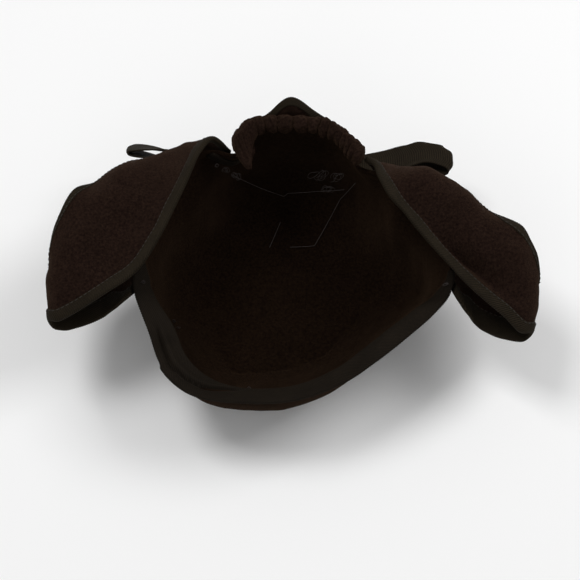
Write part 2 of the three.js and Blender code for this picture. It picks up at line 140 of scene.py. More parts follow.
# Sections of a wing from its pinch round its tip to its tucked end: the bound front edge, the
# bound rear edge, and how far the felt swells between them, in mm.
WING_LEFT = np.array([
    # front x, y, z, rear x, y, z, swell
    [-87.4, -1.5, -1.6, -78.8, 36, -24, 0],
    [-105, -13.5, -10, -106, 34, -29, 4],
    [-120, -19.5, -10, -121, 28, -22, 5],
    [-128, -21.5, -4, -129.5, 22, -12, 4],
    [-130.5, -18, 3, -131.5, 20, -1, 2],
    [-124.5, -19.5, 8, -129.5, 35.5, 5.5, 3],
    [-111, -12.5, 11, -120, 55, 8.5, 4],
    [-98, -4, 13, -109, 65.5, -8, 13],
    [-84, 6, 14.5, -101, 74, -15, 15],
    [-74, 21, 15, -90, 80.5, -18, 15],
    [-66, 38, 15, -78, 83.5, -21, 13.5],
    [-57, 60, 14, -66, 88, -24, 10],
    [-51.5, 76, 11, -56, 92, -26, 6],
    [-43.5, 87, 5.5, -48.5, 89, -28, 3],
    [-33.8, 85, -10.5, -42, 85, -31, 1],
], float)
WING_RIGHT = np.array([
    [91.0, -1.5, -1.6, 82, 36, -23, -3],
    [103, -17, -9, 108, 34, -29, 4],
    [116, -25, -9, 123, 28, -23, 5],
    [126.5, -28.5, -4, 132.5, 20, -12, 4],
    [130.5, -25, 2, 136, 10, -2, 2],
    [124, -25.7, 8, 136, 17, 4, 3],
    [115.5, -18, 11, 133, 25, 7, 4],
    [100, -5, 13, 128, 34, 8, 5],
    [89, 6, 14, 119, 40, 6, 6],
    [76.5, 21, 14.5, 108, 48.5, -7, 11.5],
    [64, 38, 14, 93, 62.5, -13, 13],
    [55, 50.5, 13, 77, 71.5, -16, 11],
    [50, 61.5, 11, 64, 76, -24, 7],
    [47.6, 71.4, 6, 57.5, 79, -26, 3],
    [42.8, 77.2, 0.6, 49, 76, -27, 1],
], float)
# A wing's ribbon in mm, how much wider it is along the open lip of the loop, and where that is
WING_BINDING = {"width": 6.4, "thick": 3.2, "wider": 1.7}
OPEN_LIP = (0.01, 0.06, 0.19, 0.29)
# How far a wing's felt stays in from its edges, in mm, and how its swell is skewed past the tip
WING_TUCK = 4
SWELL_SKEW = {"more": 0.65, "from": 0.34, "to": 0.5}

# Folds of a wing's felt: share along from pinch to tuck, half length, share across from the
# front edge, half width, and height in mm, negative where it is a valley.
FOLDS_LEFT = np.array([
    # along, half length, across, half width, height
    [0.56, 0.09, 0.30, 0.16, -1.2],
    [0.66, 0.08, 0.62, 0.20, 1.6],
    [0.44, 0.05, 0.55, 0.22, 1.4],
    [0.78, 0.05, 0.45, 0.20, -1.3],
    [0.86, 0.04, 0.30, 0.25, 1.2],
], float)
FOLDS_RIGHT = np.array([
    [0.53, 0.07, 0.24, 0.11, -8.0],
    [0.63, 0.07, 0.23, 0.11, -6.5],
    [0.73, 0.05, 0.22, 0.13, -3.5],
    [0.58, 0.10, 0.60, 0.22, 2.4],
    [0.46, 0.035, 0.62, 0.22, 2.4],
    [0.76, 0.05, 0.55, 0.22, 1.8],
    [0.50, 0.03, 0.80, 0.14, -1.6],
], float)

# The arch that the drawn-up roll follows over the far rim: direction and reach from the rim's
# centre, height, and the roll's thickness as a share of its full one.
ARCH = np.array([
    # angle, reach, rise, size
    [118.2, 70.5, -0.5, 1],
    [115.6, 73.5, 0, 1.1],
    [112.2, 77, 0, 1.1],
    [107.9, 80.5, 0, 1.05],
    [103.2, 81.2, 0, 1],
    [98.2, 80, 0, 1],
    [91.4, 79.2, 0.2, 1],
    [84.2, 79.2, 0, 1],
    [78, 79.2, 0, 1],
    [72, 77.6, 0, 1],
    [65.8, 73.9, 0, 1.05],
    [60.1, 71.2, 0, 1.05],
    [55.9, 69.2, -0.5, 1],
], float)
# The roll's section in mm, the degrees that it starts at and turns through, and the share of the
# arch over which its ends are rounded. Its waves run along and round it, in mm.
ROLL = {"radius": 5.3, "rise": 1.2, "wall": 1.3, "tall": 1.1, "starts": 225, "turns": 265}
ROLL_ENDS = 0.035
ROLL_LENGTH, ROLL_ROUND = 90, 16
# Its gathers: how far their creases slant and waver along the arch, how much plumper or flatter
# a gather is, in mm, and how much deeper the creases are than the table says
GATHERS = {"slant": 0.016, "turns": 23, "waver": 0.003, "plump": (-0.55, 0.45), "deeper": 1.15}
# The lobe that hangs in at the roll's left end and the pit beside it
ROLL_LOBE = {"at": 0.08, "half": 0.1, "size": 2.1, "flatter": 0.35}
ROLL_PIT = {"at": 0.15, "half": 0.035, "across": 0.3, "half_across": 0.09, "deep": 2.6}

# Creases between the roll's gathers: share along the arch, and depth in mm.
CREASES = np.array([
    # along, depth
    [0, 0.6],
    [0.055, 0.5],
    [0.11, 0.9],
    [0.17, 0.7],
    [0.228, 1.5],
    [0.289, 2.5],
    [0.367, 2.9],
    [0.470, 3.5],
    [0.562, 2.3],
    [0.637, 2.8],
    [0.700, 2.0],
    [0.748, 1.1],
    [0.800, 1.3],
    [0.840, 0.8],
    [0.885, 1.0],
    [0.930, 0.7],
    [1, 0.5],
], float)

# Sections of the peak: direction from the rim's centre, reach and height of its free edge.
PEAK = np.array([
    # angle, reach, rise
    [109, 84, -12],
    [105, 87, -8],
    [99, 90.5, -2.5],
    [91, 95.5, 4.5],
    [82.5, 90.5, -1],
    [75, 86.5, -7],
    [68, 82, -12],
], float)
PEAK_ROOT = {"reach": 81.5, "ends": 2.4, "rise": -17, "narrowing": 0.93}
PEAK_BOW = {"ends": 3, "middle": 7.2, "skew": 1.6, "droop": 0.4}
PEAK_BINDING = {"width": 4.8, "thick": 2.6}
PEAK_FELT_TO = 0.93

# The bow lies under the far side, in mm and degrees. Its loops end at different heights and
# turns, and each has its own folds.
BOW = {"half": 97, "ribbon": 20, "wall": 1.0, "y": 88.7, "z": -56, "turn": -5, "pleat": 1.1}
BOW_ENDS = {
    "left": {
        "hand": -1, "y": 8, "z": 18, "turn": -60, "turned_by": 0.55, "gap": 4.5, "skew": 2,
        "open": 0, "wrung": 15, "crest": 0, "droop": 0, "dimple": 0,
    },
    "right": {
        "hand": 1, "y": 3.2, "z": 15, "turn": -22, "turned_by": 1, "gap": 8.5, "skew": 5,
        "open": 5, "wrung": 0, "crest": 1.6, "droop": 1.4, "dimple": 1.5,
    },
}
BOW_KNOT = {"length": 15, "width": 14, "thick": 9.5}

# The tail of the left wing's ribbon, sewn down inside the crown: places near its inner face
TAIL = np.array([
    [-45, 82, -3],
    [-41, 82, -6],
    [-37, 80.5, -10],
    [-32, 79.5, -15],
    [-27, 78, -21],
], float)
TAIL_RIBBON = {"width": 5.5, "thick": 1.8, "off": 1.2}

# Tacking threads across the inside of the crown, each through its tacks: x and y in mm
TACKING = {
    "left": [(-35, 79), (-18, 77), (-4, 74.5), (-1, 76), (15.5, 76), (32, 73)],
    "right": [(39, 74), (30, 69), (22.4, 58.5), (15.2, 46), (0, 46)],
    "short": [(-6, 60), (-12.7, 45.5)],
}
# Rows of the crown's coarse grid that are tacked, and how far the thread lies off the felt
TACKED_ROWS = slice(8, -6)
THREAD_OFF = np.array([0.0, -0.35, 0.5])
THREAD_SLACK = np.array([0.0, -0.3, 0.5])

# A machine stitch in mm, its height over the wing's middle, and its row's share of the ribbon
STITCH = {"length": 1.9, "radius": 0.24, "height": 1.78, "across": 0.38}

# Loose tangles of thread at the tacks: place in mm and size in mm
TANGLES = np.array([
    # x, y, z, size
    [19, 78.5, -33, 3.4],
    [28, 76, -29, 3.0],
    [22, 73, -43, 2.6],
    [-36, 75.5, -15, 1.8],
    [-42, 76, -9, 1.2],
    [-31, 75, -23, 2.2],
    [-67, -8.5, -37, 1.2],
    [-64.5, -12, -39.5, 1.0],
    [-23.5, -46.5, -44, 1.2],
    [85.6, 3.0, 0.6, 1.3],
    [-80.6, 5.0, -2.0, 1.1],
], float)

Wing = namedtuple("Wing", "side rows folds seed")
WINGS = (Wing("left", WING_LEFT, FOLDS_LEFT, 40), Wing("right", WING_RIGHT, FOLDS_RIGHT, 60))


def placed(points):
    """Points of the hat's own frame in mm as places in metres: y and z turn by the lean."""
    x, y, z = points[..., 0], points[..., 1], points[..., 2]
    c, s = math.cos(LEAN), math.sin(LEAN)
    turned = np.stack([x, y * c - z * s, y * s + z * c], -1)
    return (turned + HAT_ORIGIN) * MM


def smooth(values, t, closed=False):
    """A Catmull-Rom line through evenly spaced rows of values, at shares t from 0 to 1."""
    values = np.asarray(values, float)
    count = len(values)
    spans = count if closed else count - 1
    at = (np.mod(t, 1) if closed else np.clip(t, 0, 1)) * spans
    i = np.minimum(np.floor(at).astype(int), spans - 1)
    f = at - i
    if closed:
        a, b, c, d = (values[(i + k) % count] for k in (-1, 0, 1, 2))
    else:
        first = 2 * values[:1] - values[1:2]
        last = 2 * values[-1:] - values[-2:-1]
        padded = np.concatenate([first, values, last])
        a, b, c, d = (padded[i + k + 1] for k in (-1, 0, 1, 2))
    if values.ndim > 1:
        f = f[..., None]
    cubic = (3 * b - a - 3 * c + d) * f**3 + (2 * a - 5 * b + 4 * c - d) * f**2
    return 0.5 * (cubic + (c - a) * f) + b


def smoothstep(x, low, high):
    """0 below low, 1 above high, and 3h^2 - 2h^3 between, with h the share of the way."""
    h = np.clip((x - low) / (high - low), 0, 1)
    return h * h * (3 - 2 * h)


def mix(a, b, share):
    """a and b blended by a share."""
    return a + (b - a) * share


def stretch(x, places):
    """1 between two inner places, easing to 0 at the two outer ones."""
    begins, full, fades, ends = places
    return smoothstep(x, begins, full) * (1 - smoothstep(x, fades, ends))


def bell(x, at, half):
    """A bell of height 1: exp(-((x - at) / half)^2)."""
    return np.exp(-(((x - at) / half) ** 2))


def rising(x, steep):
    """x rising steeply from 0, and 1 from there on."""
    return np.minimum(1, steep * x)


def squared_off(x, power):
    """x raised to a power with its sign kept, which makes an ellipse a rounded oblong."""
    return np.sign(x) * np.abs(x) ** power


def in_mm(name):
    """One of the sizes in the sidebar, in mm."""
    return getattr(bpy.context.scene.hat_sizes, name) / MM


def unit(vectors):
    """Vectors divided by their lengths."""
    return vectors / np.maximum(np.linalg.norm(vectors, axis=-1, keepdims=True), 1e-9)


def waves(x, y, scale, seed, count=7):
    """Soft uneven noise between about -1 and 1: a sum of sine waves in random directions."""
    rng = np.random.default_rng(seed)
    total = np.zeros(np.broadcast(x, y).shape)
    for k in range(count):
        turn, phase = rng.uniform(0, 2 * np.pi, 2)
        size = scale * (0.55 + 0.9 * k / count)
        total += np.sin((x * np.cos(turn) + y * np.sin(turn)) * 2 * np.pi / size + phase)
    return total / math.sqrt(count)


def around(angle, reach, rise):
    """A point given by direction in degrees and reach from the rim's centre, and its height."""
    a = np.radians(angle)
    x = RIM_CENTRE[0] + reach * np.cos(a)
    y = RIM_CENTRE[1] + reach * np.sin(a)
    return np.stack([x, y, rise * np.ones_like(x)], -1)


def grid(along, across):
    """Shares s and q on a grid of along by across steps, ends included."""
    return np.meshgrid(np.linspace(0, 1, along + 1), np.linspace(0, 1, across + 1), indexing="ij")


def normals(points, closed=False):
    """Unit normals of a grid of points: the cross product of its steps along and across."""
    if closed:
        ring = np.concatenate([points[-2:-1], points, points[1:2]])
        ds = (ring[2:] - ring[:-2]) / 2
    else:
        ds = np.gradient(points, axis=0)
    dq = np.gradient(points, axis=1)
    return unit(np.cross(ds, dq))


def lengths(points, axis):
    """Distances run along one axis of a grid of points, averaged over the other."""
    steps = np.linalg.norm(np.diff(points, axis=axis), axis=-1)
    mean = steps.mean(axis=1 - axis)
    return np.concatenate([[0], np.cumsum(mean)])


def run_along(path):
    """Distances run along a path of points."""
    return np.concatenate([[0], np.cumsum(np.linalg.norm(np.diff(path, axis=0), axis=1))])


def evenly(path, values, count):
    """The values that belong to a path's points, looked up at even distances along it."""
    run = run_along(path)
    return np.interp(np.linspace(0, run[-1], count), run, values)


def build(name, parts, finish, replaced=None):
    """A named piece from points in mm, quads and their uv in mm; touching points are merged."""
    points, quads, uv = parts
    maker, colour, slot_name = FINISHES[finish]
    material = bpy.data.materials.get(finish)
    if material is None:
        material = maker(finish, getattr(bpy.context.scene.hat_colours, colour))
    mesh = bpy.data.meshes.new(name)
    mesh.vertices.add(len(points))
    mesh.vertices.foreach_set("co", placed(points).ravel())
    mesh.loops.add(quads.size)
    mesh.loops.foreach_set("vertex_index", quads.ravel())
    mesh.polygons.add(len(quads))
    mesh.polygons.foreach_set("loop_start", np.arange(0, quads.size, 4))
    mesh.polygons.foreach_set("use_smooth", np.ones(len(quads), bool))
    layer = mesh.uv_layers.new(name="run")
    layer.data.foreach_set("uv", (uv[quads.ravel()] * MM).ravel())
    mesh.update(calc_edges=True)
    work = bmesh.new()
    work.from_mesh(mesh)
    bmesh.ops.remove_doubles(work, verts=work.verts, dist=2e-6)
    bmesh.ops.dissolve_degenerate(work, edges=work.edges, dist=1e-7)
    bmesh.ops.recalc_face_normals(work, faces=work.faces)
    work.to_mesh(mesh)
    work.free()
    mesh.update()
    mesh.materials.append(material)
    piece = shown(name, mesh)
    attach(piece, "root")
    if replaced:
        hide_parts(replaced)


def shown(name, data):
    """An object with some data, put in the scene."""
    made = bpy.data.objects.new(name, data)
    bpy.context.scene.collection.objects.link(made)
    return made


def quads_of(rows, columns, start=0, flip=False):
    """Quads of a grid of rows by columns whose first point has index start."""
    index = start + np.arange(rows * columns).reshape(rows, columns)
    faces = np.stack([index[:-1, :-1], index[1:, :-1], index[1:, 1:], index[:-1, 1:]], -1)
    faces = faces.reshape(-1, 4)
    return faces[:, ::-1] if flip else faces


def wall(outer, inner, capped=(True, True, True, True)):
    """Points, quads and uv of a wall between two grids, closed at its four edges."""
    rows, columns = outer.shape[:2]
    half = rows * columns
    points = np.concatenate([outer.reshape(-1, 3), inner.reshape(-1, 3)])
    index = np.arange(half).reshape(rows, columns)
    faces = [quads_of(rows, columns), quads_of(rows, columns, half, True)]
    edges = (index[:, 0], index[::-1, -1], index[0, ::-1], index[-1])
    for edge, wanted in zip(edges, capped):
        if wanted:
            faces.append(np.stack([edge[:-1], edge[:-1] + half, edge[1:] + half, edge[1:]], -1))
    u, v = np.meshgrid(lengths(outer, 0), lengths(outer, 1), indexing="ij")
    uv = np.stack([u, v], -1).reshape(-1, 2)
    return points, np.concatenate(faces), np.concatenate([uv, uv])


def skin(points, uv=None):
    """Points, quads and uv of a tube whose rings close on themselves, with its ends closed."""
    if uv is None:
        uv = np.stack(np.meshgrid(lengths(points, 0), lengths(points, 1), indexing="ij"), -1)
    first = np.repeat(points[:1].mean(axis=1, keepdims=True), points.shape[1], axis=1)
    last = np.repeat(points[-1:].mean(axis=1, keepdims=True), points.shape[1], axis=1)
    points = np.concatenate([first, points, last])
    uv = np.concatenate([uv[:1], uv, uv[-1:]])
    return points.reshape(-1, 3), quads_of(*points.shape[:2]), uv.reshape(-1, 2)


def joined(parts):
    """Several points, quads and uv as one."""
    starts = np.cumsum([0] + [len(p[0]) for p in parts[:-1]])
    points = np.concatenate([p[0] for p in parts])
    faces = np.concatenate([p[1] + start for p, start in zip(parts, starts)])
    return points, faces, np.concatenate([p[2] for p in parts])


def tube(path, radius, sides=8):
    """A round tube along a path: rings of a radius in the plane across the path."""
    tangent = unit(np.gradient(path, axis=0))
    seed = np.where(np.abs(tangent[:, 2:]) < 0.9, [[0.0, 0.0, 1.0]], [[1.0, 0.0, 0.0]])
    side = unit(np.cross(tangent, seed))
    up = np.cross(side, tangent)
    turn = np.linspace(0, 2 * np.pi, sides + 1)[None, :, None]
    ring = side[:, None] * np.cos(turn) + up[:, None] * np.sin(turn)
    return skin(path[:, None] + ring * np.reshape(radius, (-1, 1, 1)))


def felt_wall(points):
    """A wall of the felt's thickness on both sides of its middle surface."""
    half = normals(points) * in_mm("felt") / 2
    return wall(points + half, points - half)


def section(steps, fold_power, felt_power):
    """Shares across and up round a folded ribbon's section: over its upper face and back under
    its lower one, round at its fold and square where its two edges lie on the felt."""
    u = np.linspace(-1, 1, steps + 1)
    across = 1.25 * u - 0.25 * u**3
    power = np.where(across < 0, fold_power, felt_power)
    up = np.clip(1 - np.abs(across) ** power, 0, 1) ** (1 / power)
    across = np.concatenate([across, across[-2::-1]]) * 0.5
    up = np.concatenate([up, -up[-2::-1]]) * 0.5
    return across, up


def ribs(along):
    """How far a ribbon's ribs stand out: a cosine of the distance along it."""
    return RIB_HEIGHT * (0.5 - 0.5 * np.cos(2 * np.pi * along / in_mm("rib_pitch")))


def ribbed(frames, across, up, slant=RIB_SLANT):
    """A folded ribbon's skin: rings of distances across and up carried along frames of centre,
    side and up, with slanted ribs that stand out from it."""
    centre, side, top = frames
    across, up, _ = np.broadcast_arrays(across, up, centre[:, :1])
    turned = np.stack([-np.gradient(up, axis=1), np.gradient(across, axis=1)], -1)
    turned[:, 0] = turned[:, -1] = [-1, 0]
    turned = unit(turned)
    along = run_along(centre)[:, None] + slant * across
    swell = ribs(along)
    across = across + turned[..., 0] * swell
    up = up + turned[..., 1] * swell
    points = centre[:, None] + side[:, None] * across[..., None] + top[:, None] * up[..., None]
    uv = np.stack([along, np.broadcast_to(lengths(points, 1)[None], along.shape)], -1)
    return skin(points, uv)


def stitch_row(path, along, out, rings=6, blunt=0.04):
    """A row of stitches: small bars lying along a path, rounded by the root of a sine."""
    v = np.linspace(0, 1, rings)
    thick = STITCH["radius"] * np.sin(np.pi * np.clip(v, blunt, 1 - blunt)) ** 0.5
    run = (v - 0.5) * STITCH["length"]
    turn = 2 * np.pi * v[:, None]
    side = unit(np.cross(along, out))
    ring = side[:, None, None] * np.cos(turn) + out[:, None, None] * np.sin(turn)
    middle = path[:, None, None] + along[:, None, None] * run[:, None, None]
    return [skin(stitch) for stitch in middle + ring * thick[:, None, None]]


# The crown

def lip(t):
    """The bound lip at share t of the rim: its top, the ways out and down, and its numbers."""
    tops = around(RIM[:, 0], RIM[:, 1], RIM[:, 2])
    top = smooth(tops, t, True)
    out = unit((top - RIM_CENTRE) * [1, 1, 0])
    tilt = np.radians(smooth(RIM[:, 3], t, True))[..., None]
    down = np.array([0.0, 0.0, -1.0]) * np.cos(tilt) - out * np.sin(tilt)
    bound = np.clip(smooth(RIM[:, 5], t, True), 0, 1)
    return top, out, down, bound, smooth(RIM[:, 4], t, True)


def wall_top(t):
    """Where the felt's wall starts: the lip's top moved down by the part that is bound."""
    top, _, down, bound, _ = lip(t)
    return top + down * (bound * CROWN_BINDING["width"])[..., None]


def eased_top(t):
    """The wall's start with its pinches smoothed: the mean of seven neighbours."""
    offsets = [k / len(RIM) for k in (-3, -2, -1, 0, 1, 2, 3)]
    return sum(wall_top(t + offset) for offset in offsets) / len(offsets)


def dented(angle, depth):
    """How far the dents push in: a bell round each dent's direction and depth."""
    total = 0
    for at, spread, deep, reach, push in DENTS:
        turn = np.mod(angle - at + 540, 360) - 180
        total = total + push * bell(turn, 0, spread) * bell(depth, deep, reach)
    return total


def height_of(points):
    """Height over the plane that the crown rests on, before it is pressed flat."""
    return points[..., 1] * math.sin(LEAN) + points[..., 2] * math.cos(LEAN)


def bowl(t, q):
    """The crown's outer face: superellipse ribs from the lip down to the foot, pushed out by the
    belly and in by the dents."""
    _, out, _, _, belly = lip(t)
    start = wall_top(t)
    phi = q * np.pi / 2
    depth = np.sin(phi) ** CROWN_FULLNESS
    reach = np.clip(np.cos(phi), 0, 1) ** CROWN_FULLNESS
    angle = np.degrees(np.arctan2(start[..., 1] - RIM_CENTRE[1], start[..., 0] - RIM_CENTRE[0]))
    eased = smoothstep(np.sin(np.radians(angle)), *FAR_SIDE) * smoothstep(depth, *PINCH_EASED)
    rib = mix(start, eased_top(t), eased[..., None])
    swell = belly * bell(depth, **BELLY) * rising(depth, steep=8)
    push = (swell - dented(angle, depth) * rising(depth, steep=6)) * rising(reach, steep=3)
    x = CROWN_FOOT[0] + (rib[..., 0] - CROWN_FOOT[0]) * reach + out[..., 0] * push
    y = CROWN_FOOT[1] + (rib[..., 1] - CROWN_FOOT[1]) * reach + out[..., 1] * push
    z = rib[..., 2] - (CROWN_DEPTH + rib[..., 2]) * depth
    return np.stack([x, y, z], -1)


REST_UP = np.array([0.0, math.sin(LEAN), math.cos(LEAN)])
REST_HEIGHT = -HAT_ORIGIN[2]


def pressed(points):
    """Points lower than the resting plane are lifted onto it."""
    lift = np.maximum(0, REST_HEIGHT - height_of(points))
    return points + REST_UP * lift[..., None]


def crown_grid(along, across):
    """The crown's outer and inner faces. The felt's edge runs on up into the ribbon, and soft
    uneven waves of about half a millimetre break up its smooth form."""
    t, q = grid(along, across)
    q = q**0.9
    points = bowl(t, q)
    x, y, z = points[..., 0], points[..., 1], points[..., 2]
    soft = waves(x, y + z, scale=46, seed=3) * 0.55 + waves(x, y - z, scale=17, seed=4) * 0.18
    points = points - normals(points, closed=True) * (soft * rising(q, steep=5))[..., None]
    resting = height_of(points) < REST_HEIGHT + 0.01
    outer = pressed(points)
    inward = np.where(resting[..., None], REST_UP, normals(outer, closed=True))
    inner = outer + inward * in_mm("felt")
    _, _, down, bound, _ = lip(t[:, :1])
    rise = -down * (bound * FELT_TUCK)[..., None]
    outer = np.concatenate([outer[:, :1] + rise, outer], axis=1)
    inner = np.concatenate([inner[:, :1] + rise, inner], axis=1)
    return outer, inner


def make_crown():
    """The felt bowl: a wall round the rim that closes on itself and at its foot."""
    outer, inner = crown_grid(*CROWN_STEPS)
    parts = wall(outer, inner, capped=(True, False, False, False))
    # The crown's felt is a darker copy of the wings' felt: partly painted shade for the bowl's inside,
    # partly the crown's own yellower brown.
    build("crown_felt", parts, "crown felt", "crown")


def rim_frames(count):
    """Frames along the bound lip at even distances: row of the rim, ribbon's top, down and up."""
    rows = np.linspace(RIBBON_WHOLE[0], RIBBON_WHOLE[-1], 900)
    rows = evenly(lip(rows / len(RIM))[0], rows, count)
    top, out, down, _, _ = lip(rows / len(RIM))
    up = unit(out - down * np.sum(out * down, axis=-1, keepdims=True))
    return rows[:, None], top, down, up


# The crease of the crown's ribbon where it lies wide and loose: row of the rim, and share
# across the ribbon from its fold.
TENT_CREASE = np.array([
    # row, across
    [20.6, -0.13],
    [21.1, -0.09],
    [21.7, -0.1],
    [22.1, -0.12],
    [22.5, -0.1],
    [22.95, 0],
    [23.2, 0.12],
    [23.5, 0.28],
    [24.2, 0.5],
], float)

# Heights in mm and places across the ribbon: the crease and the outer band beyond it, which
# lies lower, the ridge beside it, and the soft puff at the ribbon's right part
CREASE = {"deep": 4.4, "half": 0.09, "band": 0.6, "edge": (-0.035, 0.03)}
CREASE_RIDGE = {"height": 0.9, "at": 0.13, "half": 0.1}
PUFF = {"height": 0.9, "at": 0.1, "half": 0.26}

# The tuck that laps over the outer band, with its places in rows of the rim, and how far the
# ribbon's fold is drawn back at the corner, in mm
LAP = {"height": 1.1, "row": 21.85, "slant": 1.15, "soft": 0.03, "fades": (22.4, 23.4)}
CORNER_DRAWN = 2.6


def ribbon_relief(row, a, run):
    """How far the crown's ribbon sinks in its crease and outer band and rises in its ridge, tuck
    and puff, by row of the rim, share across and distance along it."""
    from_crease = a - np.interp(row, TENT_CREASE[:, 0], TENT_CREASE[:, 1])
    band = 1 - smoothstep(from_crease, *CREASE["edge"])
    drop = band * (CREASE["deep"] * np.exp(-np.abs(from_crease) / CREASE["half"]) + CREASE["band"])
    ridge = CREASE_RIDGE["height"] * bell(from_crease, CREASE_RIDGE["at"], CREASE_RIDGE["half"])
    from_lap = row - LAP["row"] - LAP["slant"] * (a + 0.5)
    lap = LAP["height"] * smoothstep(from_lap, -LAP["soft"], LAP["soft"]) * band
    lift = stretch(row, RIBBON_CREASED) * (ridge - drop + lap * (1 - smoothstep(row, *LAP["fades"])))
    lift = lift + PUFF["height"] * stretch(row, RIBBON_PUFFED) * bell(a, PUFF["at"], PUFF["half"])
    lift = lift + waves(run, a * 14, scale=38, seed=8) * 0.25
    return lift + waves(run, a * 20, scale=13, seed=9) * 0.12


def make_crown_binding():
    """The wide ribbon along the near rim, folded loosely over the lip. At its left part a crease
    parts an outer band that lies lower, and a tuck laps over that band at the corner."""
    row, top, down, up = rim_frames(count=1300)
    a, b = section(36, fold_power=2.4, felt_power=6.0)
    lift = ribbon_relief(row, a[None, :], run_along(top)[:, None])
    lift = lift * (b < 0) * rising(0.5 - np.abs(a), steep=6)
    narrowed = mix(CROWN_BINDING["at_ends"], 1, stretch(row, RIBBON_WHOLE))
    width = (CROWN_BINDING["width"] + CROWN_BINDING["spare"]) * narrowed
    width = width + CROWN_BINDING["loose"] * stretch(row, RIBBON_LOOSE)
    centre = top + down * (width / 2 - 0.3) - up
    across = a * width - CORNER_DRAWN * stretch(row, RIBBON_CORNER) * (a < 0) * np.abs(a)
    parts = ribbed((centre, down, up), across, b * CROWN_BINDING["thick"] - lift)
    # The rim's ribbon is a darker copy of the wings' ribbon: its darkness is painted shade.
    build("crown_ribbon", parts, "rim ribbon", "crown_binding")


# The wings

def wing_surface(rows, s, q):
    """The middle surface of a wing: a straight line from front to rear edge at each s, with a
    swell of 4u(1-u) along the outward normal. u is a power of q, so that beyond the tip the felt
    lies flat near its front edge and rolls over near its rear one."""
    front = smooth(rows[:, :3], s)
    rear = smooth(rows[:, 3:6], s)
    step = 0.01
    ahead = smooth(rows[:, :3], np.minimum(s + step, 1))
    behind = smooth(rows[:, :3], np.maximum(s - step, 0))
    hand = 1 if rows[0, 0] < 0 else -1
    out = unit(np.cross(ahead - behind, rear - front)) * hand
    past_tip = smoothstep(s, SWELL_SKEW["from"], SWELL_SKEW["to"])
    skewed = q ** (1 + SWELL_SKEW["more"] * past_tip)
    swell = smooth(rows[:, 6], s) * 4 * skewed * (1 - skewed)
    return mix(front, rear, q[..., None]) + out * swell[..., None], out


def wing_points(wing, s, q):
    """A wing's finished middle surface at shares s and q, and its outward normal: a bell of each
    fold's height round its place, and soft waves that fade out at the edges."""
    points, out = wing_surface(wing.rows, s, q)
    lift = waves(points[..., 0], points[..., 1], scale=42, seed=wing.seed) * 0.5
    yz = points[..., 1] + points[..., 2]
    lift += waves(points[..., 0], yz, scale=15, seed=wing.seed + 1) * 0.22
    for along, half_length, across, half_width, height in wing.folds:
        lift += height * bell(s, along, half_length) * bell(q, across, half_width)
    return points + out * (lift * rising(q, steep=6) * rising(1 - q, steep=6))[..., None], out


def wing_chord(wing, s):
    """The distance across a wing from its front edge to its rear one."""
    return smooth(np.linalg.norm(wing.rows[:, :3] - wing.rows[:, 3:6], axis=1), s)


def make_wing(wing):
    """A wing's felt: a wall of even thickness on both sides of its middle surface."""
    s, q = grid(along=300, across=90)
    tuck = WING_TUCK / wing_chord(wing, s)
    points, _ = wing_points(wing, s, tuck + (1 - 2 * tuck) * q)
    build(f"wing_{wing.side}_felt", felt_wall(points), "napped felt", f"wing_{wing.side}")


def wing_edge_frames(wing, is_rear, count):
    """Frames along a wing's front or rear edge at even distances, and the ribbon's width, which
    is greater along the open lip of the loop, where both of its faces show."""
    fine = np.linspace(0, 1, 800)
    edge = wing.rows[:, 3:6] if is_rear else wing.rows[:, :3]
    s = evenly(smooth(edge, fine), fine, count)
    wider = 0 if is_rear else WING_BINDING["wider"]
    width = WING_BINDING["width"] * (1 + wider * stretch(s, OPEN_LIP))
    half = width / 2 / wing_chord(wing, s)
    q = 1 - half if is_rear else half
    at, out = wing_points(wing, s, q)
    inward = -1 if is_rear else 1
    ahead, _ = wing_points(wing, s, q + half * inward)
    behind, _ = wing_points(wing, s, q - half * inward)
    return at, unit(ahead - behind), out, width


def make_wing_binding(wing, is_rear):
    """The folded ribbon along one edge of a wing."""
    at, across, out, width = wing_edge_frames(wing, is_rear, 1000 if is_rear else 1300)
    run = run_along(at)
    width = (width * (1 + 0.03 * waves(run, run * 0, scale=30, seed=wing.seed + 7, count=5)))[:, None]
    a, b = section(18 if is_rear else 28, fold_power=2.6, felt_power=7.0)
    slant = -RIB_SLANT if wing.side == "left" else RIB_SLANT
    parts = ribbed((at, across, out), a * width, b * WING_BINDING["thick"], slant)
    edge = f"wing_{wing.side}_{'rear' if is_rear else 'front'}"
    build(f"{edge}_ribbon", parts, "ribbed ribbon", f"{edge}_binding")


def wing_stitches(wing, is_rear):
    """Two rows of stitches beside the ribbon's edges, one on each face of the wing."""
    at, across, out, width = wing_edge_frames(wing, is_rear, 800)
    run = run_along(at)
    pitch = in_mm("stitch_pitch")
    pick = np.searchsorted(run, np.arange(pitch, run[-1] - pitch, pitch))
    along = unit(np.gradient(at, axis=0))[pick]
    beside = at + across * (width * STITCH["across"])[:, None]
    faces = (out, -out)
    rows = [stitch_row((beside + face * STITCH["height"])[pick], along, face[pick]) for face in faces]
    return sum(rows, [])


def make_tail():
    """The end of the left wing's ribbon, laid along the nearest places of the crown's inner
    face and a little off it."""
    outer, inner = (face.reshape(-1, 3) for face in crown_grid(*CROWN_STEPS))
    nearest = np.argmin(np.linalg.norm(inner[None] - TAIL[:, None], axis=2), axis=1)
    off = unit(inner - outer)[nearest]
    share = np.linspace(0, 1, 160)
    path = smooth(inner[nearest] + off * TAIL_RIBBON["off"], share)
    off = unit(smooth(off, share))
    side = unit(np.cross(np.gradient(path, axis=0), off))
    a, b = section(14, fold_power=2.6, felt_power=4.0)
    parts = ribbed((path, side, off), a * TAIL_RIBBON["width"], b * TAIL_RIBBON["thick"])
    # The tail takes the rim's darker copy of the ribbon, whose darkness is painted shade.
    build("wing_left_ribbon_tail", parts, "rim ribbon")


# The roll, the peak and the bow

